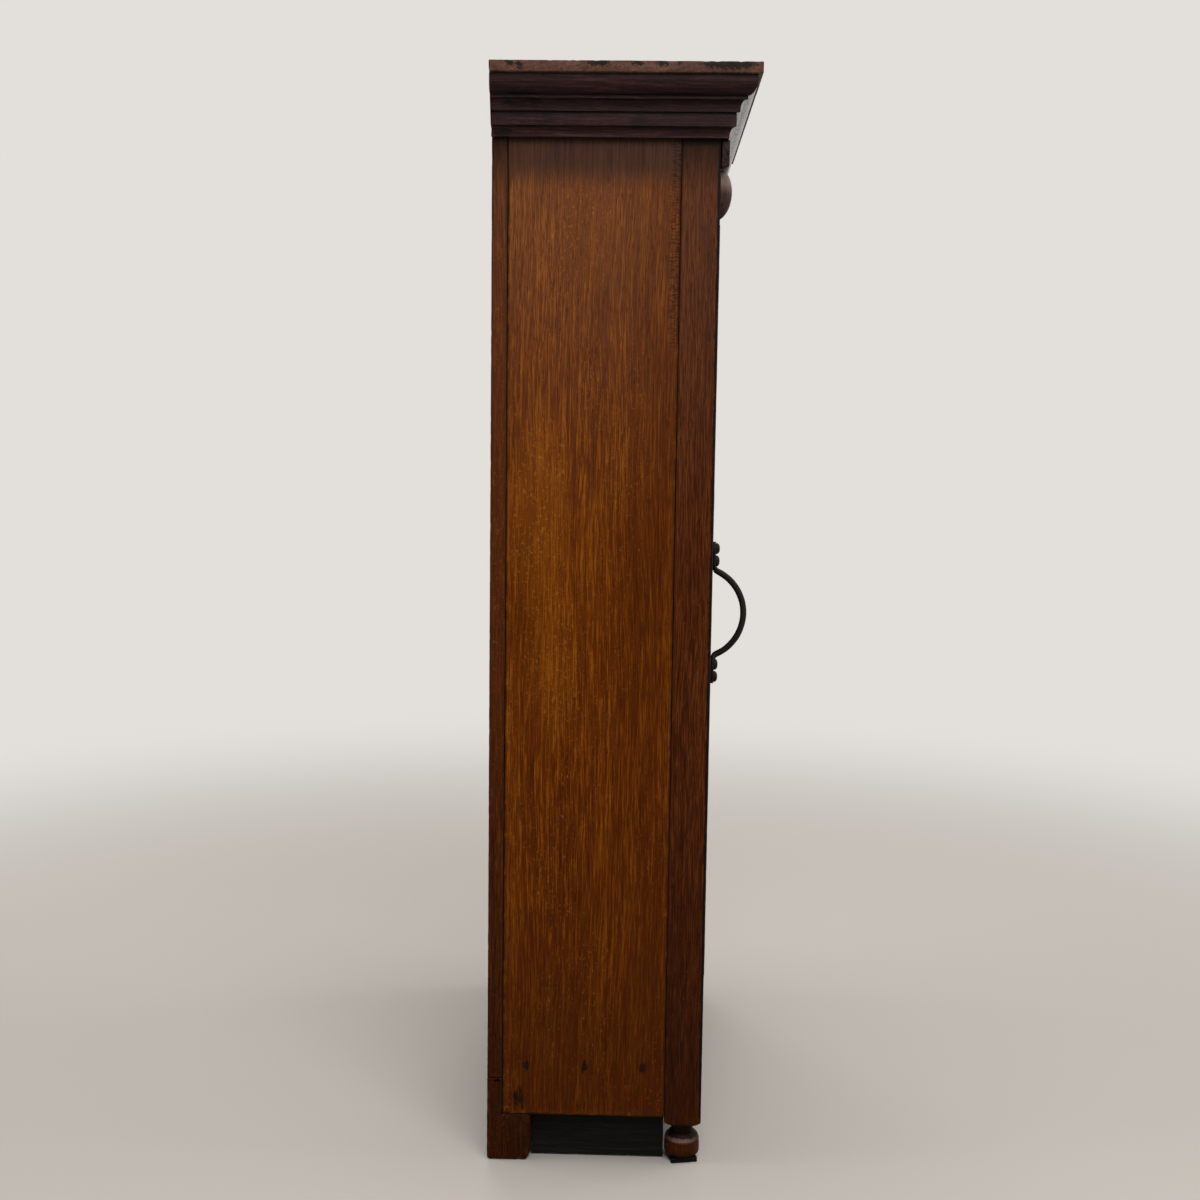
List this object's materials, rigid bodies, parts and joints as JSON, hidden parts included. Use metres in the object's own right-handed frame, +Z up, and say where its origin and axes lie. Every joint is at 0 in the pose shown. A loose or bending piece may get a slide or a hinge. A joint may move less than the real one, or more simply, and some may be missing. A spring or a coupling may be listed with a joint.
{
  "type": "display cabinet",
  "caption": "Tall teak display cabinet with a single glazed door, stacked moulded cornice, plank sides, turned front feet and an iron bow handle.",
  "frame": {"origin": "centre of the bounding box's bottom face, on the floor", "axes": "+Z up, the door faces -Y, +X to the right of someone who faces the door"},
  "size_m": [0.8, 0.3536, 1.5],
  "materials": {
    "side_teak": "waxed, worn",
    "frame_teak": "dark stained and waxed",
    "cornice_teak": "dark stained, satin",
    "inner_teak": "bare, dusty",
    "glass": "old drawn sheet",
    "forged_iron": "forged, blackened",
    "hinge_brass": "tarnished",
    "pad_rubber": "smooth"
  },
  "bodies": {
    "carcass": {"left_front_post": "frame_teak", "right_front_post": "frame_teak", "left_rear_foot": "frame_teak", "right_rear_foot": "frame_teak", "front_foot_pads": "pad_rubber", "left_side_board": "side_teak", "right_side_board": "side_teak", "left_back_stile": "frame_teak", "right_back_stile": "frame_teak", "back_top_rail": "frame_teak", "back_bottom_rail": "frame_teak", "left_back_plank": "inner_teak", "middle_back_plank": "inner_teak", "right_back_plank": "inner_teak", "bottom_board": "inner_teak", "ceiling_board": "inner_teak", "sill_shelf": "inner_teak", "lower_shelf": "inner_teak", "middle_shelf": "inner_teak", "upper_shelf": "inner_teak", "shelf_cleats": "inner_teak", "base_boards": "cornice_teak", "side_nails": "forged_iron", "top_rail": "frame_teak", "bottom_rail": "frame_teak", "door_stop": "frame_teak", "frieze_fillet": "cornice_teak", "left_boss": "frame_teak", "right_boss": "frame_teak", "cornice_board": "cornice_teak", "cornice_front_moulding": "cornice_teak", "cornice_left_moulding": "cornice_teak", "cornice_right_moulding": "cornice_teak", "upper_hinge_frame_leaf": "hinge_brass", "lower_hinge_frame_leaf": "hinge_brass", "hinge_pins": "hinge_brass", "frame_hinge_screws": "hinge_brass", "strike_plate": "forged_iron"},
    "door": {"door_lock_stile": "frame_teak", "door_hinge_stile": "frame_teak", "door_top_rail": "frame_teak", "door_bottom_rail": "frame_teak", "door_upright_bar": "frame_teak", "door_upper_bar": "frame_teak", "door_lower_bar": "frame_teak", "top_left_pane": "glass", "top_right_pane": "glass", "middle_left_pane": "glass", "middle_right_pane": "glass", "bottom_left_pane": "glass", "bottom_right_pane": "glass", "glazing_beads": "frame_teak", "upper_hinge_door_leaf": "hinge_brass", "lower_hinge_door_leaf": "hinge_brass", "door_hinge_screws": "hinge_brass", "door_handle": "forged_iron", "handle_nails": "forged_iron", "lock_case": "forged_iron", "keyhole_plate": "forged_iron"},
    "bolt": {"lock_bolt": "forged_iron"}
  },
  "joints": [
    {"name": "door_hinge", "type": "hinge", "parent": "carcass", "child": "door", "pos_m": [0.299, -0.13235, 0.7825], "axis": [0, 0, 1], "range_deg": [0, 170]},
    {"name": "lock_bolt_slide", "type": "slide", "parent": "door", "child": "bolt", "axis": [-1, 0, 0], "range_m": [0, 0.008]}
  ]
}
